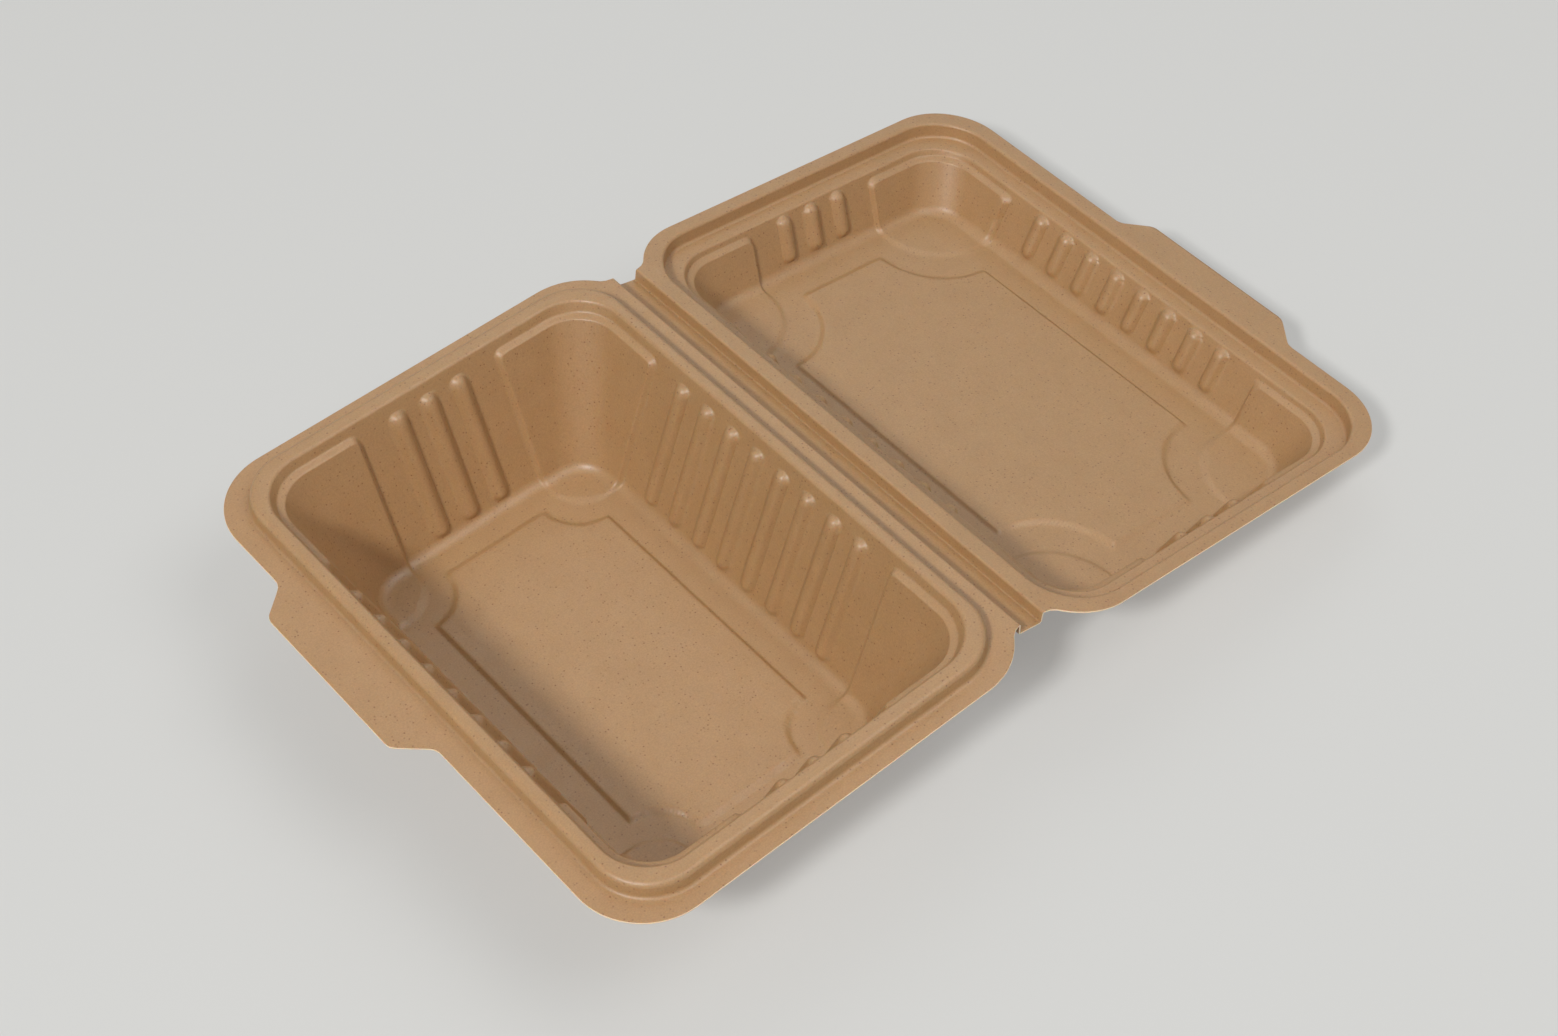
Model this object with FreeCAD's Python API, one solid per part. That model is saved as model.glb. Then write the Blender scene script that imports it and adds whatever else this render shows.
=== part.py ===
import FreeCAD, Part
import math
import os

os.makedirs("parts", exist_ok=True)

V = FreeCAD.Vector


def inside(half, border):
    """Half sizes of a rectangle that lies a border's width inside another."""
    return (half[0] - border[0], half[1] - border[1])


# Hinged takeaway container, one formed sheet: tray, hinge strip and lid, laid open.
# Millimetres, +Z up. Each half is built in its own frame: u from the hinge crest towards
# the outer edge, y along the hinge, n towards the open side, flange face at n = 0.

# Sheet
sheet = 0.6

# Flange, the same on both halves
flange_width = 167.4
flange_length = 230.0
flange_corner_r = 25.0
middle_u = flange_width / 2.0
tab_root_r = 5.0
tab_tip_r = 4.5

# Hinge trough: two upright walls, a flat strip between them, a fold at each foot
hinge_end_inset = 12.05
hinge_length = flange_length - 2.0 * hinge_end_inset
trough_depth = 4.6
fold_gap = 0.15
closing_gap = 0.4
strip_droop_deg = 14.5
axis_spacing = 2.0 * trough_depth + closing_gap - 2.0 * fold_gap

# Tray
tray_tab_root = (-65.0, 20.0)
tray_tab_tip = (-56.0, 10.0)
tray_tab_reach = 10.6
flange_border = (8.4, 6.9)
rim_height = 5.9
rim_half = inside((flange_width / 2.0, flange_length / 2.0), flange_border)
rim_corner_r = 20.0
rim_edge_chamfer = 1.2
channel_edge_chamfer = 1.0
rim_width = (5.0, 6.0)
mouth_edge_chamfer = 0.9
channel_mouth_chamfer = 0.6
tray_draft = (20.6, 21.6)
tray_mouth_half = inside(rim_half, rim_width)
tray_foot_half = inside(tray_mouth_half, tray_draft)
tray_corner_r = 16.0
tray_floor = -49.9
tray_block_width = (20.5, 20.0)
tray_block = inside(tray_foot_half, tray_block_width)
tray_block_r = 14.5
tray_ledge = 1.5
tray_panel_border = (12.6, 12.1)
tray_panel_half = inside(tray_foot_half, tray_panel_border)
tray_panel_notch_r = 16.0
mouth_band = 2.0
channel_band = 1.6
tray_rib_top = 1.3
tray_rib_foot = -47.0
tray_long_pitch = 12.9
tray_short_pitch = 12.75

# Lid
lid_tab_root = (-62.5, 21.5)
lid_tab_tip = (-51.5, 12.5)
lid_tab_reach = 9.2
recess_clearance = 1.1
recess_half = (rim_half[0] + recess_clearance, rim_half[1] + recess_clearance)
recess_corner_r = rim_corner_r + recess_clearance
recess_floor = -rim_height
recess_edge_chamfer = 0.8
seat_width = (5.3, 5.1)
lid_draft = (8.0, 9.0)
lid_mouth_half = inside(rim_half, seat_width)
lid_foot_half = inside(lid_mouth_half, lid_draft)
lid_corner_r = 16.5
lid_floor = -27.8
lid_block_width = (32.0, 30.5)
lid_block = inside(lid_foot_half, lid_block_width)
lid_block_r = 25.5
lid_ledge = -8.7
lid_panel_border = (14.4, 13.7)
lid_panel_half = inside(lid_foot_half, lid_panel_border)
lid_panel_notch_r = 28.0
lid_rib_top = -7.2
lid_rib_foot = -24.4
lid_long_pitch = 13.15
lid_short_pitch = 13.4

# Stiffening features, the same on both halves
floor_fillet_r = 5.0
block_inset = 2.0
block_foot_chamfer = 2.6
pad_height = 0.8
panel_height = 1.0
panel_tip_r = 2.0
rib_r = 3.15
rib_sides = 6
rib_axis_out = 0.55
rib_end_slope = 0.8
long_ribs = 8
short_ribs = 3
over = 3.0


def point(xy, level):
    return V(xy[0], xy[1], level)


def line(start, end):
    return Part.LineSegment(start, end).toShape()


def arc(centre, radius, start_deg, end_deg, level):
    """Arc about a centre, from one angle to the other."""
    ends = []
    for angle in (start_deg, (start_deg + end_deg) / 2.0, end_deg):
        turn = math.radians(angle)
        x = centre[0] + radius * math.cos(turn)
        y = centre[1] + radius * math.sin(turn)
        ends.append(V(x, y, level))
    return Part.Arc(ends[0], ends[1], ends[2]).toShape()


def rounded_run(corners, level):
    """Edges along a run of points (x, y, r), each inner one rounded by its r."""
    edges = []
    here = point(corners[0], level)
    for i in range(1, len(corners) - 1):
        corner = point(corners[i], level)
        back = (point(corners[i - 1], level) - corner).normalize()
        ahead = (point(corners[i + 1], level) - corner).normalize()
        half = back.getAngle(ahead) / 2.0
        radius = corners[i][2]
        reach = radius / math.tan(half)
        toward = (back + ahead).normalize()
        start = corner + back * reach
        middle = corner + toward * (radius / math.sin(half) - radius)
        end = corner + ahead * reach
        edges.append(line(here, start))
        edges.append(Part.Arc(start, middle, end).toShape())
        here = end
    edges.append(line(here, point(corners[-1], level)))
    return edges


def rounded_wire(half, radius, level):
    """Rounded rectangle about the origin: four lines and four arcs."""
    x = half[0] - radius
    y = half[1] - radius
    edges = [
        line(V(-x, -half[1], level), V(x, -half[1], level)),
        arc((x, -y), radius, 270, 360, level),
        line(V(half[0], -y, level), V(half[0], y, level)),
        arc((x, y), radius, 0, 90, level),
        line(V(x, half[1], level), V(-x, half[1], level)),
        arc((-x, y), radius, 90, 180, level),
        line(V(-half[0], y, level), V(-half[0], -y, level)),
        arc((-x, -y), radius, 180, 270, level),
    ]
    return Part.Wire(edges)


def prism(half, radius, low, high):
    face = Part.Face(rounded_wire(half, radius, low))
    return face.extrude(V(0, 0, high - low))


def edges_at(shape, level, half=None):
    """Edges whose ends lie at one level, within half sizes where given."""
    found = []
    for edge in shape.Edges:
        ends = [vertex.Point for vertex in edge.Vertexes]
        fits = len(ends) == 2
        for end in ends:
            fits = fits and abs(end.z - level) < 1e-4
            if half is not None:
                fits = fits and abs(end.x) < half[0] and abs(end.y) < half[1]
        if fits:
            found.append(edge)
    return found


class Walls:
    """Drafted walls between a mouth and a foot, with round corners."""

    def __init__(self, mouth_half, mouth, foot_half, foot, corner_r):
        self.foot = foot
        self.foot_half = foot_half
        self.corner_r = corner_r
        height = mouth - foot
        self.slope = [(mouth_half[i] - foot_half[i]) / height for i in (0, 1)]

    def face(self, axis, level, grow=0.0):
        """Distance of a wall's inner face from the middle, grown square to the wall."""
        out = grow * math.hypot(1.0, self.slope[axis])
        return self.foot_half[axis] + (level - self.foot) * self.slope[axis] + out

    def plain(self, high, low, grow):
        """Space inside the walls between two levels."""
        x0, x1 = (self.face(0, level, grow) for level in (low, high))
        y0, y1 = (self.face(1, level, grow) for level in (low, high))
        block = Part.makeWedge(-x0, low, -y0, -y1, -x1, x0, high, y0, y1, x1)
        block.rotate(V(0, 0, 0), V(1, 0, 0), 90)
        corners = []
        for edge in block.Edges:
            ends = [vertex.Point.z for vertex in edge.Vertexes]
            if max(ends) - min(ends) > 0.5 * (high - low):
                corners.append(edge)
        return block.makeFillet(self.corner_r + grow, corners)

    def solid(self, high, low, grow, fillet_r):
        """Space inside the walls, with its floor edge rounded."""
        block = self.plain(high, low, grow)
        return block.makeFillet(fillet_r, edges_at(block, low))


def corner_blocks(block, radius, low, high):
    """Four corner prisms in plan, each with its inward corner rounded."""
    blocks = []
    far = flange_length
    for sx in (-1, 1):
        for sy in (-1, 1):
            run = [(sx * far, sy * block[1]), (sx * block[0], sy * block[1], radius),
                   (sx * block[0], sy * far)]
            edges = rounded_run(run, low)
            edges.append(line(point(run[2], low), V(sx * far, sy * far, low)))
            edges.append(line(V(sx * far, sy * far, low), point(run[0], low)))
            face = Part.Face(Part.Wire(edges))
            blocks.append(face.extrude(V(0, 0, high - low)))
    return blocks


def ticket(half, notch_r, tip_r, low, high):
    """Floor panel: a rectangle whose corners are cut away by quarter circles."""
    height = high - low
    shape = Part.makeBox(2 * half[0], 2 * half[1], height, V(-half[0], -half[1], low))
    for sx in (-1, 1):
        for sy in (-1, 1):
            corner = V(sx * half[0], sy * half[1], low - over)
            shape = shape.cut(Part.makeCylinder(notch_r, height + 2 * over, corner))
    upright = []
    for edge in shape.Edges:
        box = edge.BoundBox
        if box.ZLength > height - 0.01 and box.XLength < 0.01 and box.YLength < 0.01:
            upright.append(edge)
    return shape.makeFillet(tip_r, upright)


def rib(foot, top, inward, radius, sides):
    """Half-round bar up a wall in narrow flats, its two ends sloped back into the wall."""
    along = (top - foot).normalize()
    across = along.cross(inward)
    slope = along * (rib_end_slope * radius)
    section = [foot - across * radius - inward * radius]
    for i in range(sides + 1):
        turn = math.pi * (i / sides - 0.5)
        section.append(foot + across * (radius * math.sin(turn))
                       + inward * (radius * math.cos(turn)))
    section.append(foot + across * radius - inward * radius)
    section.append(section[0])
    bar = Part.Face(Part.makePolygon(section)).extrude(top - foot)
    side = [foot - inward * radius, foot, foot + slope + inward * radius,
            top - slope + inward * radius, top, top - inward * radius]
    side.append(side[0])
    face = Part.Face(Part.makePolygon([corner - across * radius for corner in side]))
    return bar.common(face.extrude(across * (2 * radius)))


def ribs(walls, foot, top, long_pitch, short_pitch, grow):
    """Ribs up the long walls (axis 0) and the short walls (axis 1)."""
    sides = rib_sides if grow == 0 else rib_sides // 2
    bars = []
    for axis, count, pitch in ((0, long_ribs, long_pitch), (1, short_ribs, short_pitch)):
        lean = math.atan(walls.slope[axis])
        out = rib_axis_out * math.cos(lean)
        drop = rib_axis_out * math.sin(lean)
        for side in (-1, 1):
            facing = (-side * math.cos(lean), 0) if axis == 0 else (0, -side * math.cos(lean))
            inward = point(facing, math.sin(lean))
            for i in range(count):
                place = (i - (count - 1) / 2.0) * pitch
                ends = []
                for level in (foot + grow, top - grow):
                    away = side * (walls.face(axis, level) + out)
                    xy = (away, place) if axis == 0 else (place, away)
                    ends.append(point(xy, level - drop))
                bars.append(rib(ends[0], ends[1], inward, rib_r - grow, sides))
    return bars


def cavity(walls, mouth, floor, grow, block, block_r, ledge, panel_half, notch_r,
           rib_foot, rib_top, pitches):
    """Inside form of a half, or with grow = sheet its outside form."""
    low = floor - grow
    main = walls.solid(mouth, low, grow, floor_fillet_r + grow)
    inset = walls.plain(mouth, low + pad_height, grow - block_inset)
    inset = inset.makeChamfer(block_foot_chamfer, edges_at(inset, low + pad_height))
    blocks = corner_blocks((block[0] + grow, block[1] + grow), block_r - grow,
                           low - over, ledge - grow)
    form = main.cut([corner.cut(inset) for corner in blocks])
    half = (panel_half[0] - grow, panel_half[1] - grow)
    panel = ticket(half, notch_r + grow, panel_tip_r - grow, low - over,
                   low + panel_height)
    form = form.cut(panel)
    return form.cut(ribs(walls, rib_foot, rib_top, pitches[0], pitches[1], grow))


def flange(tab_root, tab_tip, tab_reach):
    """Flat flange with its tab; the corners by the hinge run into the crest line."""
    y = flange_length / 2.0
    r = flange_corner_r
    w = flange_width
    end = hinge_length / 2.0
    step = end - y + r
    notch_r = step * step / (2.0 * (r - step))
    turn = math.degrees(math.atan2(notch_r + step, r))
    level = -sheet
    edges = [line(V(0, end, level), V(0, -end, level))]
    edges.append(arc((0, -end - notch_r), notch_r, 90, turn, level))
    edges.append(arc((r, -y + r), r, 180 + turn, 270, level))
    edges.append(line(V(r, -y, level), V(w - r, -y, level)))
    edges.append(arc((w - r, -y + r), r, 270, 360, level))
    edges.extend(rounded_run([
        (w, -y + r),
        (w, tab_root[0], tab_root_r),
        (w + tab_reach, tab_tip[0], tab_tip_r),
        (w + tab_reach, tab_tip[1], tab_tip_r),
        (w, tab_root[1], tab_root_r),
        (w, y - r),
    ], level))
    edges.append(arc((w - r, y - r), r, 0, 90, level))
    edges.append(line(V(w - r, y, level), V(r, y, level)))
    edges.append(arc((r, y - r), r, 90, 180 - turn, level))
    edges.append(arc((0, end + notch_r), notch_r, 360 - turn, 270, level))
    return Part.Face(Part.Wire(edges)).extrude(V(0, 0, sheet))


def trough_wall():
    """Upright wall of the hinge trough, under the crest."""
    height = trough_depth - fold_gap
    return Part.makeBox(sheet, hinge_length, height, V(0, -hinge_length / 2.0, -height))


def centred(shape):
    return shape.translated(V(middle_u, 0, 0))


# Tray: the flange rises to a hollow rim round the mouth, then the walls go down
near_mouth = (tray_mouth_half[0] + 1.0, tray_mouth_half[1] + 1.0)
tray_walls = Walls(tray_mouth_half, rim_height, tray_foot_half, tray_floor,
                   tray_corner_r)
tray_features = (tray_block, tray_block_r, tray_ledge, tray_panel_half,
                 tray_panel_notch_r, tray_rib_foot, tray_rib_top,
                 (tray_long_pitch, tray_short_pitch))
tray_inside = cavity(tray_walls, mouth_band, tray_floor, 0.0, *tray_features)
tray_outside = cavity(tray_walls, channel_band, tray_floor, sheet, *tray_features)

# The rim is solid at first; the channel under it is taken out in an upper, plain band
# and a lower band that follows the outside of the ribs and corner panels
rim = prism(rim_half, rim_corner_r, -sheet, rim_height)
rim = rim.makeChamfer(rim_edge_chamfer, edges_at(rim, rim_height))
channel_half = (rim_half[0] - sheet, rim_half[1] - sheet)
channel_r = rim_corner_r - sheet
channel_top = rim_height - sheet
channel = prism(channel_half, channel_r, channel_band, channel_top)
channel = channel.makeChamfer(channel_edge_chamfer, edges_at(channel, channel_top))
channel = channel.cut(tray_walls.plain(channel_top + over, channel_band - over, sheet))
channel = channel.makeChamfer(channel_mouth_chamfer,
                              edges_at(channel, channel_top, near_mouth))
ring = rim.cut(channel)
ring = ring.cut(tray_walls.plain(rim_height + over, mouth_band, 0.0))
ring = ring.makeChamfer(mouth_edge_chamfer, edges_at(ring, rim_height, near_mouth))
body = ring.fuse(tray_outside)
channel = prism(channel_half, channel_r, -sheet, channel_band).cut(tray_outside)
body = body.cut(channel)
body = body.cut(tray_inside)
plate = flange(tray_tab_root, tray_tab_tip, tray_tab_reach)
plate = plate.cut(centred(prism(channel_half, rim_corner_r - sheet, -over, over)))
tray = plate.fuse([centred(body), trough_wall()]).removeSplitter()
tray.rotate(V(0, 0, 0), V(0, 0, 1), 180)

# Lid: the flange drops into a recess that takes the tray's rim, then the walls go down
lid_walls = Walls(lid_mouth_half, recess_floor, lid_foot_half, lid_floor,
                  lid_corner_r)
lid_features = (lid_block, lid_block_r, lid_ledge, lid_panel_half,
                lid_panel_notch_r, lid_rib_foot, lid_rib_top,
                (lid_long_pitch, lid_short_pitch))
lid_inside = cavity(lid_walls, recess_floor + over, lid_floor, 0.0, *lid_features)
lid_outside = cavity(lid_walls, recess_floor - sheet / 2.0, lid_floor, sheet,
                     *lid_features)

recess = prism(recess_half, recess_corner_r, recess_floor, over)
recess = recess.makeChamfer(recess_edge_chamfer, edges_at(recess, recess_floor))
recess_outside = prism((recess_half[0] + sheet, recess_half[1] + sheet),
                       recess_corner_r + sheet, recess_floor - sheet, 0.0)
recess_outside = recess_outside.makeChamfer(
    channel_edge_chamfer, edges_at(recess_outside, recess_floor - sheet))
body = recess_outside.fuse(lid_outside)
body = body.cut(recess)
body = body.cut(lid_inside)
plate = flange(lid_tab_root, lid_tab_tip, lid_tab_reach)
plate = plate.cut(centred(prism(recess_half, recess_corner_r, -over, over)))
lid = plate.fuse([centred(body), trough_wall()]).removeSplitter()

# Hinge strip between the two folds; its upper face is the trough's floor
strip = Part.makeBox(axis_spacing, hinge_length, sheet,
                     V(0, -hinge_length / 2.0, -fold_gap - sheet))

# Folds: each axis lies a fold gap clear of its wall's foot
axis_drop = trough_depth - fold_gap
table = tray_floor - sheet
droop = math.radians(strip_droop_deg)
axis_a = V(fold_gap, 0, -axis_drop)
axis_b = V(fold_gap + axis_spacing * math.cos(droop), 0,
           -axis_drop - axis_spacing * math.sin(droop))

# The lid droops until the outside of its far floor edge rests at the tray's level
lean = math.atan(lid_walls.slope[0])
edge_u = (middle_u + lid_foot_half[0] + floor_fillet_r * math.tan(lean)
          - floor_fillet_r / math.cos(lean) + fold_gap)
edge_n = lid_floor + floor_fillet_r + axis_drop
edge_r = floor_fillet_r + sheet
reach = math.hypot(edge_u, edge_n)
lid_droop = (math.asin((axis_b.z - table - edge_r) / reach)
             - math.atan2(-edge_n, edge_u))

strip.rotate(V(0, 0, 0), V(0, 1, 0), strip_droop_deg)
strip.translate(axis_a)
lid.translate(V(fold_gap, 0, axis_drop))
lid.rotate(V(0, 0, 0), V(0, 1, 0), math.degrees(lid_droop))
lid.translate(axis_b)

# Origin: under the middle of the open container, on the surface it rests on
x_min = -flange_width - tray_tab_reach
x_max = (axis_b.x + (flange_width + lid_tab_reach + fold_gap) * math.cos(lid_droop)
         + axis_drop * math.sin(lid_droop))
shift = V(-(x_min + x_max) / 2.0, 0, -table)

for name, shape in (("tray", tray), ("hinge_strip", strip), ("lid", lid)):
    shape.translate(shift)
    shape.exportStep("parts/" + name + ".step")
    box = shape.BoundBox
    print(name, "solids", len(shape.Solids), "valid", shape.isValid(),
          "volume", round(shape.Volume, 1),
          "x", round(box.XMin, 2), round(box.XMax, 2),
          "y", round(box.YMin, 2), round(box.YMax, 2),
          "z", round(box.ZMin, 2), round(box.ZMax, 2))

axis_a = axis_a + shift
axis_b = axis_b + shift
lid_droop_deg = math.degrees(lid_droop)
print("shift", shift, "lid droop", lid_droop_deg)
print("fold A", axis_a, "range", 90.0 + strip_droop_deg)
print("fold B", axis_b, "range", 90.0 - strip_droop_deg + lid_droop_deg)
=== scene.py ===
"""Hinged takeaway container of thin formed sheet, laid open on a pale floor."""
import math

import bpy
import numpy as np
from mathutils import Matrix, Vector


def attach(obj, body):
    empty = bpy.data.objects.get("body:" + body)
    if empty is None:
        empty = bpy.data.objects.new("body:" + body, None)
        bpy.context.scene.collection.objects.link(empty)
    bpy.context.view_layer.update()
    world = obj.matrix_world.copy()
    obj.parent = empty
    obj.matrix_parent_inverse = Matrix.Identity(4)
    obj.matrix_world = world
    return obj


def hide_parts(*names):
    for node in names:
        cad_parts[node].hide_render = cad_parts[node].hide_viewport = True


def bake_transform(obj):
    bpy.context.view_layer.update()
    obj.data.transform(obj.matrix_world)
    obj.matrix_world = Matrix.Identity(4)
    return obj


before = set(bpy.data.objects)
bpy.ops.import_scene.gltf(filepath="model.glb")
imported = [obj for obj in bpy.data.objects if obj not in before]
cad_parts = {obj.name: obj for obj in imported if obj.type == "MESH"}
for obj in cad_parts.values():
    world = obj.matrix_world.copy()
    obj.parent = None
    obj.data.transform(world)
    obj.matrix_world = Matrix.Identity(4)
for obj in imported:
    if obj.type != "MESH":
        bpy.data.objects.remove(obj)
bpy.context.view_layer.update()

# Sizes in millimetres, in each half's own frame: x from the half's middle away from the
# hinge, y along the hinge, n towards the open side, with the flange face at n = 0.
MM = 0.001
SHEET = 0.6
EDGE_BEVEL = 0.12

# Hinge trough and its two folds, whose axes lie AXIS_DROP under the flange and AXIS_SPACING
# apart; PLACE is where the tray has its own hinge edge at rest
MIDDLE = 83.7
CREST_ROUND = 0.8
TROUGH_DEPTH = 4.6
SHUT_GAP = 0.4
FOLD_GAP = 0.15
FOLD_ROUND = 0.45
STRIP_LENGTH = 205.9
STRIP_LEADS = (0.8, 1.2)
STRIP_DROOP = math.radians(14.5)
AXIS_SPACING = 2 * TROUGH_DEPTH + SHUT_GAP - 2 * FOLD_GAP
AXIS_DROP = TROUGH_DEPTH - FOLD_GAP
LID_DROOP = math.radians(8.05725)
PLACE = np.array([-3.3914, 0.0, 50.5])
FOLD_A = PLACE + np.array([FOLD_GAP, 0.0, -AXIS_DROP])
FOLD_B = FOLD_A + AXIS_SPACING * np.array([math.cos(STRIP_DROOP), 0.0, -math.sin(STRIP_DROOP)])

# Flange outline
OUTLINE_HALF = (83.7, 115.0)
OUTLINE_R = 25.0
TAB_RUN_END = 90.0
TAB_ROUNDS = (5.0, 4.5, 4.5, 5.0)
FLANGE_SHARES = (1.0, 0.93, 0.72, 0.45, 0.2)

# Zones of the profile
RIM, WALL, FILLET, FLOOR = range(4)
LEVEL_MARGIN = 0.3

# Corner pads: how far they stand out, how far they rise at the floor, and their soft edges
PAD_PUSH = 2.13
PAD_LIFT = 0.8
PAD_EDGE = 1.3
PAD_ROUND = 2.5
PAD_FADE_FROM, PAD_FADE_WIDTH = 0.9, 0.1

# Wall ribs: a bar of this radius, sunk into the wall and eased at its foot
LONG_RIBS, SHORT_RIBS = 8, 3
RIB_RADIUS = 3.15
RIB_BAR_REACH = 3.1
RIB_FLANK_TOP, RIB_FLANK_SLOPE = 0.45, 2.5
RIB_SINK = 0.55
RIB_SOFTNESS = 0.35
RIB_CLEAR, RIB_FADE = 0.4, 2.0

# Floor panel
PANEL_STEP = 1.3
PANEL_STEP_WIDTH = 1.3
PANEL_TIP_ROUND = 1.6

# Column plan: fixed places along each side up to HOLD, then stretched to each ring's corner
HOLD_X, REF_X = 32.0, 52.0
HOLD_Y, REF_Y = 63.0, 84.0
CORNER_COLUMNS = 18
NOTCH_COLUMNS = 6

# Points along each curve, rows of the strip, and rows that the underside keeps in full
HOLLOW_POINTS, OUTLINE_POINTS = 12, 24
EDGE_ROWS, FILLET_ROWS = 6, 8
CREST_POINTS, FOLD_POINTS = 5, 6
STRIP_ROWS, STRIP_COLUMNS = 8, 60
FULL_UNDER_ROWS = 8
SHARP_ANGLE = math.radians(50)


def spaced(stops):
    """Places from the first stop to the last, each stretch cut at its own step."""
    places = [stops[0][0]]
    for (low, step), (high, _) in zip(stops[:-1], stops[1:]):
        count = max(1, int(round((high - low) / step)))
        places.extend(low + (high - low) * (i + 1) / count for i in range(count))
    return np.array(places)


def mirrored(places):
    """The places and their mirror images, in rising order, with zero once."""
    return np.concatenate([-places[::-1][:-1], places])


# Pairs of a place and the step from there on, finest where a corner pad ends
LONG_SIDE = mirrored(spaced([(0, 0.9), (50, 1.4), (58.4, 0.6), (62.6, 1.5), (REF_Y, 0)]))
SHORT_SIDE = mirrored(spaced([(0, 0.9), (17.5, 1.4), (27.2, 0.6), (31.2, 1.5), (REF_X, 0)]))


def column_plan():
    """Columns anticlockwise from the far side's low end.

    Each has a side number and a place along it, or a corner number and a turn from 0 to 1.
    """
    kind, number, place = [], [], []
    turns = (np.arange(CORNER_COLUMNS) + 1) / (CORNER_COLUMNS + 1)
    for side in range(4):
        run = LONG_SIDE if side % 2 == 0 else SHORT_SIDE
        kind += [0] * len(run) + [1] * CORNER_COLUMNS
        number += [side] * (len(run) + CORNER_COLUMNS)
        place += list(run) + list(turns)
    return np.array(kind), np.array(number), np.array(place)


KIND, NUMBER, COLUMN = column_plan()
COLUMNS = len(KIND)
ON_SIDE = KIND == 0
LONG = ON_SIDE & (NUMBER % 2 == 0)
SHORT = ON_SIDE & (NUMBER % 2 == 1)
TURN = np.where(ON_SIDE, NUMBER * 0.5 * np.pi, (NUMBER + COLUMN) * 0.5 * np.pi)
FACING = np.stack([np.cos(TURN), np.sin(TURN)], axis=1)


def hinge_columns():
    """Columns whose cut edge lies on the crest line."""
    turn = COLUMN * (CORNER_COLUMNS + 1)
    near = LONG & (NUMBER == 2)
    upper = ~ON_SIDE & (NUMBER == 1) & (turn > CORNER_COLUMNS - NOTCH_COLUMNS + 0.5)
    lower = ~ON_SIDE & (NUMBER == 2) & (turn < NOTCH_COLUMNS + 0.5)
    return near | upper | lower


def stretched(place, hold, ref, end):
    """Places beyond hold are spread evenly to the straight side's end."""
    size = np.abs(place)
    far = hold + (size - hold) * (end - hold) / (ref - hold)
    return np.sign(place) * np.where(size <= hold, size, far)


def ring(half_x, half_y, radius):
    """Rounded rectangle: straight sides and quarter circles, one point a column."""
    x_end = half_x - radius
    y_end = half_y - radius
    along_y = stretched(COLUMN, HOLD_Y, REF_Y, y_end)
    along_x = stretched(COLUMN, HOLD_X, REF_X, x_end)
    corner_x = np.where((NUMBER == 0) | (NUMBER == 3), x_end, -x_end)
    corner_y = np.where(NUMBER <= 1, y_end, -y_end)
    x = corner_x + radius * FACING[:, 0]
    y = corner_y + radius * FACING[:, 1]
    x = np.where(LONG, half_x * FACING[:, 0], np.where(SHORT, -along_x * FACING[:, 1], x))
    y = np.where(SHORT, half_y * FACING[:, 1], np.where(LONG, along_y * FACING[:, 0], y))
    return np.stack([x, y], axis=1)


def fillet_run(corners, radii, count=9):
    """Points along a broken line whose inner corners are rounded by arcs."""
    points = [np.array(corners[0], float)]
    for i in range(1, len(corners) - 1):
        here = np.array(corners[i], float)
        back = np.array(corners[i - 1], float) - here
        ahead = np.array(corners[i + 1], float) - here
        back = back / np.linalg.norm(back)
        ahead = ahead / np.linalg.norm(ahead)
        half = 0.5 * math.acos(float(np.clip(back @ ahead, -1, 1)))
        middle = (back + ahead) / np.linalg.norm(back + ahead)
        centre = here + middle * radii[i - 1] / math.sin(half)
        first = here + back * radii[i - 1] / math.tan(half) - centre
        last = here + ahead * radii[i - 1] / math.tan(half) - centre
        start = math.atan2(first[1], first[0])
        sweep = math.atan2(last[1], last[0]) - start
        sweep = (sweep + math.pi) % (2 * math.pi) - math.pi
        for step in range(count):
            angle = start + sweep * step / (count - 1)
            points.append(centre + radii[i - 1] * np.array([math.cos(angle), math.sin(angle)]))
    points.append(np.array(corners[-1], float))
    return np.array(points)


def hinge_corner():
    """Cut edge of one corner by the hinge, column by column from the crest line outwards.

    It keeps to the crest line up to the strip's end, then runs through a hollow curve into
    the outline's round corner.
    """
    end = STRIP_LENGTH / 2
    straight = OUTLINE_HALF[1] - OUTLINE_R
    step = end - straight
    notch = step ** 2 / (2 * (OUTLINE_R - step))
    turn = math.atan2(notch + step, OUTLINE_R)
    a = np.linspace(-0.5 * np.pi, -turn, HOLLOW_POINTS)
    hollow = np.stack([notch * np.cos(a), end + notch + notch * np.sin(a)], axis=1)
    b = np.linspace(np.pi - turn, 0.5 * np.pi, OUTLINE_POINTS)
    full = np.stack([OUTLINE_R + OUTLINE_R * np.cos(b), straight + OUTLINE_R * np.sin(b)], axis=1)
    path = np.concatenate([hollow, full])
    path[:, 0] = np.maximum(path[:, 0], CREST_ROUND)
    run = np.concatenate([[0], np.cumsum(np.linalg.norm(np.diff(path, axis=0), axis=1))])
    left = CORNER_COLUMNS - NOTCH_COLUMNS
    at = run[-1] * np.arange(1, left + 1) / (left + 1)
    flank_y = straight + step * np.arange(1, NOTCH_COLUMNS + 1) / NOTCH_COLUMNS
    flank = np.stack([np.full(NOTCH_COLUMNS, CREST_ROUND), flank_y], axis=1)
    curve = np.stack([np.interp(at, run, path[:, 0]), np.interp(at, run, path[:, 1])], axis=1)
    corner = np.concatenate([flank, curve])
    corner[:, 0] -= MIDDLE
    return corner


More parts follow.
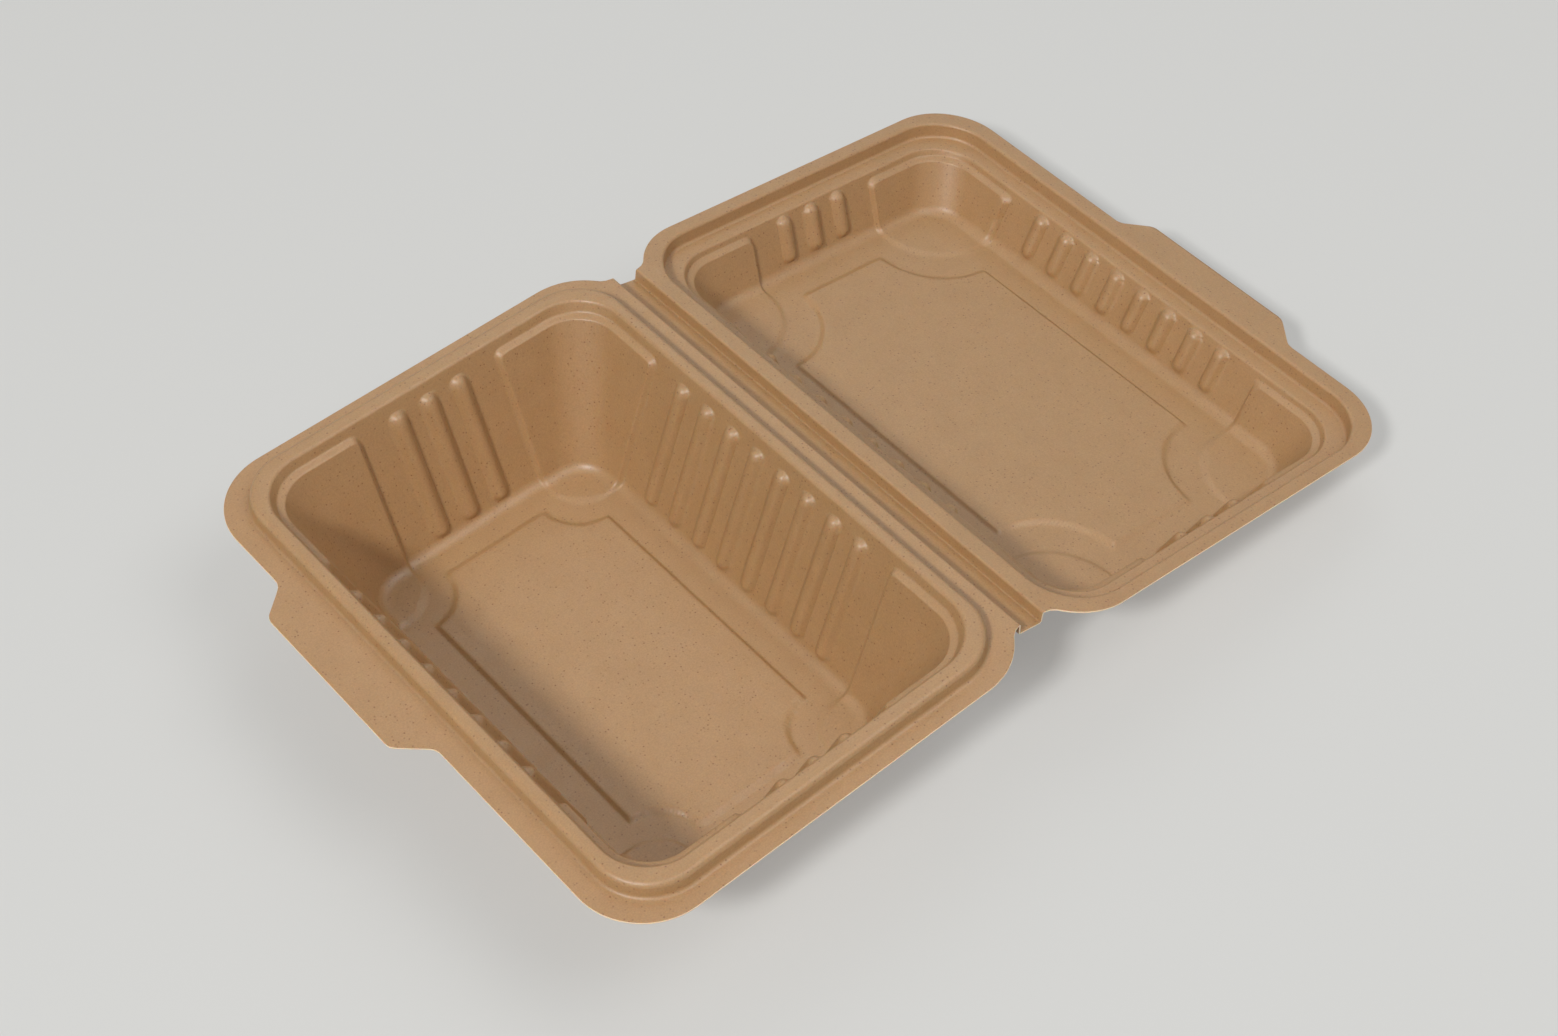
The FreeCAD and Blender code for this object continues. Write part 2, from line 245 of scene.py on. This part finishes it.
def outline(tab_root, tab_tip, tab_reach):
    """The cut edge: a rounded rectangle with a tab on its far side and notched corners by
    the hinge."""
    xy = ring(OUTLINE_HALF[0], OUTLINE_HALF[1], OUTLINE_R)
    far = LONG & (NUMBER == 0)
    tab = fillet_run([(-TAB_RUN_END, 0.0), (tab_root[0], 0.0), (tab_tip[0], tab_reach),
                      (tab_tip[1], tab_reach), (tab_root[1], 0.0), (TAB_RUN_END, 0.0)],
                     TAB_ROUNDS)
    xy[far, 0] += np.interp(xy[far, 1], tab[:, 0], tab[:, 1])
    near = LONG & (NUMBER == 2)
    xy[near, 0] += CREST_ROUND
    corner = hinge_corner()
    upper = ~ON_SIDE & (NUMBER == 1)
    lower = ~ON_SIDE & (NUMBER == 2)
    xy[upper] = corner[::-1]
    xy[lower] = corner * np.array([1, -1])
    return xy


def eased(value):
    """Smooth step: v * v * (3 - 2 * v), with v held between 0 and 1."""
    value = np.clip(value, 0, 1)
    return value * value * (3 - 2 * value)


def soft_max(value, softness):
    """The greater of value and 0, with a rounded corner."""
    return 0.5 * (value + np.sqrt(value * value + softness * softness))


def both_inside(first, second, radius):
    """Depth inside two borders at once, with the corner between them rounded."""
    a = first - radius
    b = second - radius
    inner = radius - np.hypot(np.minimum(a, 0), np.minimum(b, 0))
    return inner + np.maximum(np.minimum(a, b), 0)


def ticket_depth(x, y, half, notch):
    """How far a point lies inside the floor panel whose corners are cut by circles."""
    px = half[0] - np.abs(x)
    py = half[1] - np.abs(y)
    cut = np.hypot(px, py) - notch
    flat = np.minimum(px, py)
    blend = np.clip(0.5 + 0.5 * (cut - flat) / PANEL_TIP_ROUND, 0, 1)
    return cut * (1 - blend) + flat * blend - PANEL_TIP_ROUND * blend * (1 - blend)


def rib_height(across, level, pitch, count, low, high):
    """Height of the nearest rib over the wall.

    A bar with domed ends, sqrt(radius^2 - side^2 - beyond^2) less its sink, where side is the
    distance from the rib's line and beyond the distance past its end; eased at its foot.
    """
    nearest = np.clip(np.round(across / pitch + (count - 1) / 2), 0, count - 1)
    side = across - (nearest - (count - 1) / 2) * pitch
    beyond = np.maximum(np.maximum(low - level, level - high), 0)
    bar = np.sqrt(np.maximum(RIB_RADIUS ** 2 - side ** 2 - beyond ** 2, 0))
    away = np.hypot(side, beyond)
    flank = RIB_FLANK_TOP - (away - RIB_BAR_REACH) * RIB_FLANK_SLOPE
    return soft_max(np.where(away < RIB_BAR_REACH, bar, flank) - RIB_SINK, RIB_SOFTNESS)


class Half:
    """One half of the container: its profile rings and its formed features."""

    def __init__(self, **sizes):
        self.__dict__.update(sizes)

    def slope(self):
        """How far the wall leans outwards for each millimetre that it rises."""
        run = (self.mouth_half[0] - self.foot_half[0]) + (self.mouth_half[1] - self.foot_half[1])
        return 0.5 * run / (self.mouth - self.floor)

    def rings(self):
        """Rows of (half x, half y, radius, level, zone, scale), from the flange to the floor.

        The rows of the floor shrink about the middle by their scale.
        """
        rows = [(*r, RIM, 1.0) for r in self.rim_rows()]
        k = self.slope()
        lean = math.atan(k)
        hx, hy, hr = self.mouth_half[0], self.mouth_half[1], self.mouth_r
        edge = self.edge_r
        out = edge / math.cos(lean) - edge * k
        for turn in np.linspace(0.5 * math.pi, lean, EDGE_ROWS):
            d = out - edge * math.cos(turn)
            n = self.mouth - edge + edge * math.sin(turn)
            rows.append((hx + d, hy + d, hr + d, n, RIM, 1.0))
        top = rows[-1]
        fx, fy, fr = self.foot_half[0], self.foot_half[1], self.foot_r
        big = self.fillet
        back = -(big / math.cos(lean) - big * k)
        d = back + big * math.cos(lean)
        foot = (fx + d, fy + d, fr + d, self.floor + big - big * math.sin(lean))
        for n in self.wall_levels:
            if foot[3] + LEVEL_MARGIN < n < top[3] - LEVEL_MARGIN:
                f = (n - foot[3]) / (top[3] - foot[3])
                rows.append((*[foot[i] + f * (top[i] - foot[i]) for i in range(4)], WALL, 1.0))
        for turn in np.linspace(lean, 0.5 * math.pi, FILLET_ROWS):
            d = back + big * math.cos(turn)
            n = self.floor + big - big * math.sin(turn)
            rows.append((fx + d, fy + d, fr + d, n, FILLET, 1.0))
        last = rows[-1]
        for scale in self.floor_scales:
            rows.append((last[0], last[1], last[2], self.floor, FLOOR, scale))
        return rows

    def flange(self, edge, rim_foot):
        """Flat rows between the cut edge and the rim's foot, but for the edge's bevel."""
        inner = edge - rim_foot
        bevel = np.where(hinge_columns(), 0.0, EDGE_BEVEL)
        length = np.maximum(np.linalg.norm(inner, axis=1), 1e-6)
        rows = []
        for f in FLANGE_SHARES:
            share = f - (bevel / length if f == 1.0 else 0.0)
            xy = rim_foot + inner * np.reshape(share * np.ones(COLUMNS), (-1, 1))
            rows.append(np.column_stack([xy, np.zeros(COLUMNS)]))
        return rows

    def pads(self, x, y, level, zone, scale):
        """How far the corner pads move a ring along FACING, and how far they raise it."""
        corner = both_inside(np.abs(x) - self.block[0], np.abs(y) - self.block[1], self.block_r)
        depth = both_inside(corner, self.ledge - level, PAD_ROUND)
        amount = eased(depth / PAD_EDGE + 0.5) * (zone > RIM)
        lift = PAD_LIFT * np.clip((self.ledge - level) / (self.ledge - self.floor), 0, 1)
        shift = lift * self.slope() - PAD_PUSH
        fade = 1.0 if zone < FLOOR else eased((scale - PAD_FADE_FROM) / PAD_FADE_WIDTH)
        return amount * shift * fade, amount * lift

    def ribs(self, x, y, level):
        """Height of the ribs over the wall at a ring."""
        high = self.rib_top - RIB_RADIUS
        low = self.rib_foot + RIB_RADIUS
        long_rib = rib_height(y, level, self.long_pitch, LONG_RIBS, low, high)
        short_rib = rib_height(x, level, self.short_pitch, SHORT_RIBS, low, high)
        height = np.where(LONG, long_rib, np.where(SHORT, short_rib, 0.0))
        return height * eased((level - self.floor - RIB_CLEAR) / RIB_FADE)

    def surface(self):
        """Open-side points (row, column, xyz) and the cut edge.

        Inside the flange a point is ring * scale + FACING * push at n = level + rise, where
        pads, ribs (at right angles to the leaning wall) and the floor panel give push and rise.
        """
        rows = self.rings()
        lean = math.atan(self.slope())
        edge = outline(self.tab_root, self.tab_tip, self.tab_reach)
        grid = self.flange(edge, ring(*rows[0][:3]))
        for half_x, half_y, radius, level, zone, scale in rows:
            xy = ring(half_x, half_y, radius) * scale
            x, y = xy[:, 0], xy[:, 1]
            push, rise = self.pads(x, y, level, zone, scale)
            n = level + rise
            if zone in (WALL, FILLET):
                height = self.ribs(x, y, level)
                push = push - height * math.cos(lean)
                n = n + height * math.sin(lean)
            if zone == FLOOR:
                depth = ticket_depth(x, y, self.panel_half, self.panel_notch)
                n = n + eased(depth / PANEL_STEP_WIDTH + 0.5) * PANEL_STEP
            xy = xy + FACING * np.reshape(push, (-1, 1))
            grid.append(np.column_stack([xy, n]))
        return np.array(grid), edge


def rim_rows_tray():
    """Tray: flat flange, hollow at the rim's foot, upright face, round top edge."""
    hx, hy, r, top = 75.3, 108.1, 20.0, 5.9
    hollow, draft, shoulder = 1.3, 0.25, 1.9
    rows = []
    for a in np.linspace(0, 0.5 * math.pi, 4):
        d = hollow * (1 - math.sin(a))
        rows.append((hx + d, hy + d, r + d, hollow * (1 - math.cos(a))))
    for a in np.linspace(0, 0.5 * math.pi, 6):
        d = -draft - shoulder * (1 - math.cos(a))
        rows.append((hx + d, hy + d, r + d, top - shoulder + shoulder * math.sin(a)))
    return rows


def rim_rows_lid():
    """Lid: flange turned down into the recess, upright face, hollow into the ledge."""
    hx, hy, r, low = 76.4, 109.2, 21.0, -5.9
    draft, shoulder, hollow = 0.2, 1.1, 1.3
    rows = []
    for a in np.linspace(0, 0.5 * math.pi, 5):
        d = draft + shoulder * (1 - math.sin(a))
        rows.append((hx + d, hy + d, r + d, -shoulder * (1 - math.cos(a))))
    for a in np.linspace(0, 0.5 * math.pi, 5):
        d = -hollow * (1 - math.cos(a))
        rows.append((hx + d, hy + d, r + d, low + hollow - hollow * math.sin(a)))
    return rows


TRAY = Half(
    tab_root=(-65.0, 20.0), tab_tip=(-56.0, 10.0), tab_reach=10.6,
    rim_rows=rim_rows_tray, mouth=5.9, mouth_half=(70.3, 102.1), mouth_r=18.5, edge_r=1.5,
    foot_half=(49.7, 80.5), foot_r=14.0, floor=-49.9, fillet=5.0,
    wall_levels=np.concatenate([[4.2, 3.4, 2.6], np.arange(2.1, 0.85, -0.2), [0.6, 0.1],
                                np.arange(-0.6, -43.0, -1.65),
                                np.arange(-43.4, -47.5, -0.6)]),
    floor_scales=np.concatenate([np.arange(0.985, 0.64, -0.0145), [0.58, 0.45, 0.3, 0.15]]),
    block=(29.2, 60.5), block_r=14.5, ledge=1.5, panel_half=(37.1, 68.4), panel_notch=16.0,
    rib_top=1.4, rib_foot=-47.0, long_pitch=12.9, short_pitch=12.75,
)

LID = Half(
    tab_root=(-62.5, 21.5), tab_tip=(-51.5, 12.5), tab_reach=9.2,
    rim_rows=rim_rows_lid, mouth=-5.9, mouth_half=(70.0, 103.0), mouth_r=18.0, edge_r=1.1,
    foot_half=(62.0, 94.0), foot_r=15.0, floor=-27.8, fillet=5.0,
    wall_levels=np.concatenate([np.arange(-6.6, -8.0, -0.35), np.arange(-8.1, -9.5, -0.2),
                                np.arange(-9.7, -25.0, -0.85)]),
    floor_scales=np.concatenate([np.arange(0.987, 0.585, -0.011), [0.54, 0.42, 0.28, 0.14]]),
    block=(30.0, 63.5), block_r=25.5, ledge=-8.7, panel_half=(47.6, 80.3), panel_notch=28.0,
    rib_top=-7.0, rib_foot=-24.2, long_pitch=13.15, short_pitch=13.4,
)


def trough_profile(turn):
    """Half of the hinge trough from its crest: points (away from the half, n).

    A rounded crest, an upright wall, a rounded fold and a short length of the strip, which
    leaves the fold turned by the angle between it and the half.
    """
    points = []
    for a in np.linspace(0, 0.5 * math.pi, CREST_POINTS)[1:]:
        points.append((CREST_ROUND * (math.sin(a) - 1), CREST_ROUND * (math.cos(a) - 1)))
    along = np.array([math.cos(turn), -math.sin(turn)])
    up = np.array([math.sin(turn), math.cos(turn)])
    axis = np.array([FOLD_GAP, -AXIS_DROP])
    base = axis - FOLD_GAP * up
    foot = base - along * base[0] / along[0]
    sweep = 0.5 * math.pi - turn
    reach = FOLD_ROUND * math.tan(0.5 * sweep)
    centre = np.array([FOLD_ROUND, foot[1] + reach])
    points.append((0.0, 0.5 * (centre[1] - CREST_ROUND)))
    for a in np.linspace(0, sweep, FOLD_POINTS):
        points.append((centre[0] - FOLD_ROUND * math.cos(a), centre[1] - FOLD_ROUND * math.sin(a)))
    for length in STRIP_LEADS:
        points.append(tuple(base + along * length))
    return np.array(points)


def face_normals(points, faces):
    """Vertex normals: each face's area vector added to its corners."""
    diagonal_a = points[faces[:, 2]] - points[faces[:, 0]]
    diagonal_b = points[faces[:, 3]] - points[faces[:, 1]]
    area = np.cross(diagonal_a, diagonal_b)
    total = np.zeros_like(points)
    for corner in range(4):
        np.add.at(total, faces[:, corner], area)
    return total / np.maximum(np.linalg.norm(total, axis=1, keepdims=True), 1e-9)


def quads(first, second, closed=True):
    """Faces between two rows of vertex numbers that run the same way."""
    ahead_a = np.roll(first, -1) if closed else first[1:]
    ahead_b = np.roll(second, -1) if closed else second[1:]
    here_a = first if closed else first[:-1]
    here_b = second if closed else second[:-1]
    return np.stack([here_a, ahead_a, ahead_b, here_b], axis=1)


def edge_faces(first_row, chain, hinge, offset):
    """Faces of the cut edge: round the flange, along the trough and up its two ends.

    The underside's vertices are numbered offset higher than the open side's, and the bevel's
    two rows follow both.
    """
    outer = 2 * offset + np.arange(COLUMNS)
    outer_low = outer + COLUMNS
    free = np.roll(np.arange(COLUMNS), -hinge[-1])[:COLUMNS - len(hinge) + 2]
    sides = [quads(outer[free], first_row[free], closed=False),
             quads(outer_low[free], outer[free], closed=False),
             quads(first_row[free] + offset, outer_low[free], closed=False)]
    end_row = chain[0]
    sides.append(quads(end_row + offset, end_row, closed=False))
    for end, flip in ((0, False), (-1, True)):
        rail = np.array([row[end] for row in chain])
        strip = quads(rail, rail + offset, closed=False)
        sides.append(strip[:, ::-1] if flip else strip)
        column = hinge[end]
        patch = np.array([[first_row[column], outer[column], outer_low[column],
                           first_row[column] + offset]])
        sides.append(patch[:, ::-1] if flip else patch)
    return np.concatenate(sides)


def under_rows(count):
    """Rows that the underside keeps: the first, every other one after them, and the last."""
    return [i for i in range(count)
            if i < FULL_UNDER_ROWS or i % 2 == 0 or i == count - 1]


def formed_sheet(half, turn):
    """Closed sheet of one half: open side, underside, cut edge and its part of the trough.

    The underside is the open side moved back by the sheet's thickness along its normals.
    Returned are the points, the faces with four and with three corners, and how many of the
    last four-cornered ones are the cut edge.
    """
    grid, edge = half.surface()
    row_count = len(grid)
    points = [grid.reshape(-1, 3)]
    number = np.arange(row_count * COLUMNS).reshape(row_count, COLUMNS)
    hinge = np.flatnonzero(hinge_columns())
    start = row_count * COLUMNS
    troughs = []
    for away, n in trough_profile(turn):
        x = np.full(len(hinge), -MIDDLE - away)
        points.append(np.column_stack([x, grid[0, hinge, 1], np.full(len(hinge), n)]))
        troughs.append(np.arange(start, start + len(hinge)))
        start += len(hinge)
    middle = start
    points.append(np.array([[0.0, 0.0, grid[-1, 0, 2]]]))
    top = np.concatenate(points)
    chain = troughs[::-1] + [number[0, hinge]]
    upper = [quads(a, b) for a, b in zip(number[:-1], number[1:])]
    upper += [quads(a, b, closed=False) for a, b in zip(chain[:-1], chain[1:])]
    upper = np.concatenate(upper)
    normal = face_normals(top, upper)
    normal[middle] = (0, 0, 1)
    offset = len(top)
    kept = under_rows(row_count)
    lower = [quads(number[b], number[a]) + offset for a, b in zip(kept[:-1], kept[1:])]
    lower += [quads(b, a, closed=False) + offset for a, b in zip(chain[:-1], chain[1:])]
    sides = edge_faces(number[0], chain, hinge, offset)
    innermost = number[-1]
    fan = np.stack([innermost, np.roll(innermost, -1), np.full(COLUMNS, middle)], axis=1)
    bevel = [np.column_stack([edge, np.full(COLUMNS, n)])
             for n in (-EDGE_BEVEL, EDGE_BEVEL - SHEET)]
    return (np.concatenate([top, top - SHEET * normal] + bevel),
            np.concatenate([upper] + lower + [sides]),
            np.concatenate([fan, fan[:, ::-1] + offset]), len(sides))


def new_piece(name, points, four, three, cut_count):
    """Mesh object at the origin, in metres, smooth but for its sharp edges.

    The last cut_count faces of four are the cut edge, marked by the attribute cut_edge.
    """
    used = np.unique(np.concatenate([four.ravel(), three.ravel()]))
    renumber = np.full(len(points), -1)
    renumber[used] = np.arange(len(used))
    mesh = bpy.data.meshes.new(name)
    mesh.from_pydata((points[used] * MM).tolist(), [],
                     renumber[four].tolist() + renumber[three].tolist())
    order = np.arange(len(four) + len(three))
    cut = (order >= len(four) - cut_count) & (order < len(four))
    mark = mesh.attributes.new("cut_edge", "FLOAT", "FACE")
    mark.data.foreach_set("value", cut.astype(np.float32))
    mesh.validate()
    mesh.shade_smooth()
    mesh.set_sharp_from_angle(angle=SHARP_ANGLE)
    mesh.update()
    piece = bpy.data.objects.new(name, mesh)
    bpy.context.scene.collection.objects.link(piece)
    return piece


def tray_place(points):
    """Tray: turned half a turn so that its far side points to -X."""
    x = -(points[:, 0] + MIDDLE)
    return np.column_stack([x, -points[:, 1], points[:, 2]]) + PLACE


def lid_place(points):
    """Lid: its fold line is laid on fold B and it droops from there to the floor."""
    u = points[:, 0] + MIDDLE + FOLD_GAP
    n = points[:, 2] + AXIS_DROP
    x = u * math.cos(LID_DROOP) + n * math.sin(LID_DROOP)
    z = -u * math.sin(LID_DROOP) + n * math.cos(LID_DROOP)
    return np.column_stack([x, points[:, 1], z]) + FOLD_B


def half_piece(name, half, turn, place):
    """Mesh object of one half, where it lies at rest."""
    points, four, three, cut_count = formed_sheet(half, turn)
    return new_piece(name, place(points), four, three, cut_count)


def strip_piece():
    """Flat middle of the hinge strip, between the two folds."""
    lead = STRIP_LEADS[-1]
    along = np.linspace(lead, AXIS_SPACING - lead, STRIP_ROWS)
    across = np.linspace(-STRIP_LENGTH / 2, STRIP_LENGTH / 2, STRIP_COLUMNS)
    a, y = np.meshgrid(along, across, indexing="ij")
    points = []
    for b in (-FOLD_GAP, -FOLD_GAP - SHEET):
        x = a * math.cos(STRIP_DROOP) + b * math.sin(STRIP_DROOP)
        z = -a * math.sin(STRIP_DROOP) + b * math.cos(STRIP_DROOP)
        points.append(np.stack([x, y, z], axis=-1).reshape(-1, 3) + FOLD_A)
    number = np.arange(a.size).reshape(a.shape)
    faces = []
    for low, high in zip(number[:-1], number[1:]):
        faces.append(quads(high, low, closed=False))
        faces.append(quads(low, high, closed=False) + a.size)
    border = np.concatenate([number[0, :-1], number[:-1, -1], number[-1, :0:-1], number[:0:-1, 0]])
    faces.append(quads(border + a.size, border)[:, ::-1])
    no_triangles = np.zeros((0, 3), int)
    return new_piece("hinge_strip_sheet", np.concatenate(points), np.concatenate(faces),
                     no_triangles, len(border))


# Material
PALE_BROWN = (0.464, 0.275, 0.123, 1)
DEEP_BROWN = (0.438, 0.256, 0.112, 1)
GRAIN_SHADE = (0.80, 0.78, 0.76, 1)
SPECK_BROWN = (0.24, 0.105, 0.04, 1)
CUT_EDGE_BROWN = (0.80, 0.62, 0.43, 1)
BLACK = (0, 0, 0, 1)
WHITE = (1, 1, 1, 1)

# Sockets of a colour mix node: its factor, its two colours and its result
MIX_FACTOR, MIX_FIRST, MIX_SECOND = 0, 6, 7
MIX_RESULT = 2


def grey(value):
    """Colour of three equal values."""
    return (value, value, value, 1)


def sheet_material():
    """Pressed plant-starch sheet: warm light brown, satin, mottled, with dark specks."""
    material = bpy.data.materials.new("formed_brown_sheet")
    material.use_nodes = True
    nodes = material.node_tree.nodes
    links = material.node_tree.links
    shader = nodes["Principled BSDF"]
    place = nodes.new("ShaderNodeTexCoord")

    def noise(scale, detail, rough=0.55):
        """Height of a noise pattern; scale is in waves a metre."""
        node = nodes.new("ShaderNodeTexNoise")
        node.inputs["Scale"].default_value = scale
        node.inputs["Detail"].default_value = detail
        node.inputs["Roughness"].default_value = rough
        links.new(place.outputs["Object"], node.inputs["Vector"])
        return node.outputs["Fac"]

    def ramp(source, start, first, end, last):
        """Colour that goes from first to last while the source goes from start to end."""
        node = nodes.new("ShaderNodeValToRGB")
        elements = node.color_ramp.elements
        for element, at, colour in zip(elements, (start, end), (first, last)):
            element.position = at
            element.color = colour
        links.new(source, node.inputs["Fac"])
        return node.outputs["Color"]

    def mix(kind, factor, first, second):
        """Two colours mixed by a factor; each value may be plain or a socket."""
        node = nodes.new("ShaderNodeMix")
        node.data_type = "RGBA"
        node.blend_type = kind
        for value, socket in ((factor, MIX_FACTOR), (first, MIX_FIRST), (second, MIX_SECOND)):
            if isinstance(value, bpy.types.NodeSocket):
                links.new(value, node.inputs[socket])
            else:
                node.inputs[socket].default_value = value
        return node.outputs[MIX_RESULT]

    cloud = ramp(noise(90, 4), 0.3, DEEP_BROWN, 0.7, PALE_BROWN)
    grain = ramp(noise(1700, 3), 0.3, GRAIN_SHADE, 0.65, WHITE)
    colour = mix("MULTIPLY", 0.8, cloud, grain)
    cells = nodes.new("ShaderNodeTexVoronoi")
    cells.inputs["Scale"].default_value = 700
    links.new(place.outputs["Object"], cells.inputs["Vector"])
    dot = ramp(cells.outputs["Distance"], 0.12, WHITE, 0.28, BLACK)
    pick = ramp(cells.outputs["Color"], 0.40, BLACK, 0.80, WHITE)
    specks = mix("MULTIPLY", 1.0, dot, pick)
    colour = mix("MIX", specks, colour, SPECK_BROWN)
    edge = nodes.new("ShaderNodeAttribute")
    edge.attribute_name = "cut_edge"
    colour = mix("MIX", edge.outputs["Fac"], colour, CUT_EDGE_BROWN)
    links.new(colour, shader.inputs["Base Color"])
    shader.inputs["Subsurface Weight"].default_value = 0.4
    shader.inputs["Subsurface Radius"].default_value = (1.0, 0.4, 0.16)
    shader.inputs["Subsurface Scale"].default_value = 0.0015
    gloss = ramp(noise(240, 3), 0.3, grey(0.40), 0.7, grey(0.52))
    links.new(gloss, shader.inputs["Roughness"])
    bump = nodes.new("ShaderNodeBump")
    bump.inputs["Strength"].default_value = 0.25
    bump.inputs["Distance"].default_value = 0.0003
    links.new(noise(700, 4, 0.6), bump.inputs["Height"])
    links.new(bump.outputs["Normal"], shader.inputs["Normal"])
    shader.inputs["Specular IOR Level"].default_value = 0.8
    return material


def world_point(local, place):
    """A half's own point in millimetres, as a place in the scene in metres."""
    return tuple(place(np.array([local], float))[0] * MM)


tray = half_piece("tray_sheet", TRAY, STRIP_DROOP, tray_place)
world_point((-MIDDLE - 0.02, 0, -AXIS_DROP), tray_place)
world_point((-MIDDLE - 0.9, 0, -AXIS_DROP), tray_place)
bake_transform(tray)

lid = half_piece("lid_sheet", LID, LID_DROOP - STRIP_DROOP, lid_place)
world_point((-MIDDLE - 0.9, 0, -AXIS_DROP), lid_place)
world_point((-MIDDLE - 0.02, 0, -AXIS_DROP), lid_place)
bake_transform(lid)

strip = strip_piece()
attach(strip, "hinge_strip")

SHEET_MATERIAL = sheet_material()
for piece, node in ((tray, "tray"), (lid, "lid"), (strip, "hinge_strip")):
    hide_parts(node)
    piece.data.materials.append(SHEET_MATERIAL)

# Camera
EYE = (-384.25, -436.49, 655.34)
VIEW_ANGLES = (40.45, 50.1, -0.64)
SENSOR_WIDTH = 36.0
PICTURE_WIDTH = 1558
FOCAL_PIXELS = 2614.48


def camera():
    """Camera turned 40 degrees from +Y, looking down by 50, with its eye at EYE from PLACE."""
    azimuth, elevation, roll = (math.radians(a) for a in VIEW_ANGLES)
    forward = Vector((math.cos(elevation) * math.sin(azimuth),
                      math.cos(elevation) * math.cos(azimuth), -math.sin(elevation)))
    level = Vector((math.cos(azimuth), -math.sin(azimuth), 0))
    down = forward.cross(level)
    right = math.cos(roll) * level - math.sin(roll) * down
    low = math.sin(roll) * level + math.cos(roll) * down
    data = bpy.data.cameras.new("camera")
    data.sensor_fit = "HORIZONTAL"
    data.sensor_width = SENSOR_WIDTH
    data.lens = FOCAL_PIXELS * SENSOR_WIDTH / PICTURE_WIDTH
    data.clip_end = 20
    holder = bpy.data.objects.new("camera", data)
    turn = Matrix((right, -low, -forward)).transposed()
    eye = Vector(EYE) + Vector(PLACE)
    holder.matrix_world = Matrix.Translation(eye * MM) @ turn.to_4x4()
    bpy.context.scene.collection.objects.link(holder)
    bpy.context.scene.camera = holder


camera()

# Floor and light
FLOOR_HALF = 6.0
FLOOR_DROP = 0.0002
FLOOR_GREY = (0.68, 0.68, 0.66, 1)
FLOOR_SEEN = (0.655, 0.655, 0.64, 1)
FLOOR_SEEN_SHARE = 0.4
WORLD_STRENGTH = 0.225
WORLD_SEEN = (0.60, 0.60, 0.59, 1)


def background_rays(nodes, links):
    """1 for rays that see the background directly, in a gloss or through glass."""
    path = nodes.new("ShaderNodeLightPath")
    seen = path.outputs["Is Camera Ray"]
    for kind in ("Is Glossy Ray", "Is Transmission Ray"):
        either = nodes.new("ShaderNodeMath")
        either.operation = "MAXIMUM"
        links.new(seen, either.inputs[0])
        links.new(path.outputs[kind], either.inputs[1])
        seen = either.outputs[0]
    return seen


def studio_world():
    """Even white light, with a paler background where it is seen."""
    world = bpy.data.worlds.new("studio")
    world.use_nodes = True
    nodes = world.node_tree.nodes
    links = world.node_tree.links
    light = nodes["Background"]
    light.inputs["Color"].default_value = WHITE
    light.inputs["Strength"].default_value = WORLD_STRENGTH
    pale = nodes.new("ShaderNodeBackground")
    pale.inputs["Color"].default_value = WORLD_SEEN
    blend = nodes.new("ShaderNodeMixShader")
    links.new(background_rays(nodes, links), blend.inputs[0])
    links.new(light.outputs[0], blend.inputs[1])
    links.new(pale.outputs[0], blend.inputs[2])
    links.new(blend.outputs[0], nodes["World Output"].inputs["Surface"])
    bpy.context.scene.world = world


def floor_material():
    """Pale matt floor; where rays see it, part of its light is its own, which lifts shadows."""
    material = bpy.data.materials.new("pale_floor")
    material.use_nodes = True
    nodes = material.node_tree.nodes
    links = material.node_tree.links
    shader = nodes["Principled BSDF"]
    shader.inputs["Base Color"].default_value = FLOOR_GREY
    shader.inputs["Roughness"].default_value = 0.6
    shader.inputs["Specular IOR Level"].default_value = 0.2
    glow = nodes.new("ShaderNodeEmission")
    glow.inputs["Color"].default_value = FLOOR_SEEN
    share = nodes.new("ShaderNodeMath")
    share.operation = "MULTIPLY"
    share.inputs[1].default_value = FLOOR_SEEN_SHARE
    links.new(background_rays(nodes, links), share.inputs[0])
    blend = nodes.new("ShaderNodeMixShader")
    links.new(share.outputs[0], blend.inputs[0])
    links.new(shader.outputs[0], blend.inputs[1])
    links.new(glow.outputs[0], blend.inputs[2])
    links.new(blend.outputs[0], nodes["Material Output"].inputs["Surface"])
    return material


def floor():
    """Square floor just under the container."""
    corners = [(x * FLOOR_HALF, y * FLOOR_HALF, -FLOOR_DROP)
               for x, y in ((-1, -1), (1, -1), (1, 1), (-1, 1))]
    mesh = bpy.data.meshes.new("floor")
    mesh.from_pydata(corners, [], [(0, 1, 2, 3)])
    mesh.materials.append(floor_material())
    piece = bpy.data.objects.new("floor", mesh)
    bpy.context.scene.collection.objects.link(piece)


def soft_light(name, place, target, size, power):
    """Large square lamp aimed at a point."""
    data = bpy.data.lights.new(name, "AREA")
    data.shape = "SQUARE"
    data.size = size
    data.energy = power
    lamp = bpy.data.objects.new(name, data)
    aim = Vector(target) - Vector(place)
    turn = aim.to_track_quat("-Z", "Y").to_matrix().to_4x4()
    lamp.matrix_world = Matrix.Translation(place) @ turn
    bpy.context.scene.collection.objects.link(lamp)


floor()
soft_light("key_lamp", (-2.04, -0.75, 2.3), (-0.08, 0, 0.02), 0.4, 61)
soft_light("overhead_lamp", (0.5, -0.75, 1.7), (0, 0, 0.02), 1.1, 9.5)
soft_light("back_lamp", (0.9, 1.05, 1.65), (0, 0, 0.02), 1.4, 5)
studio_world()

bpy.context.scene.view_settings.view_transform = "Standard"
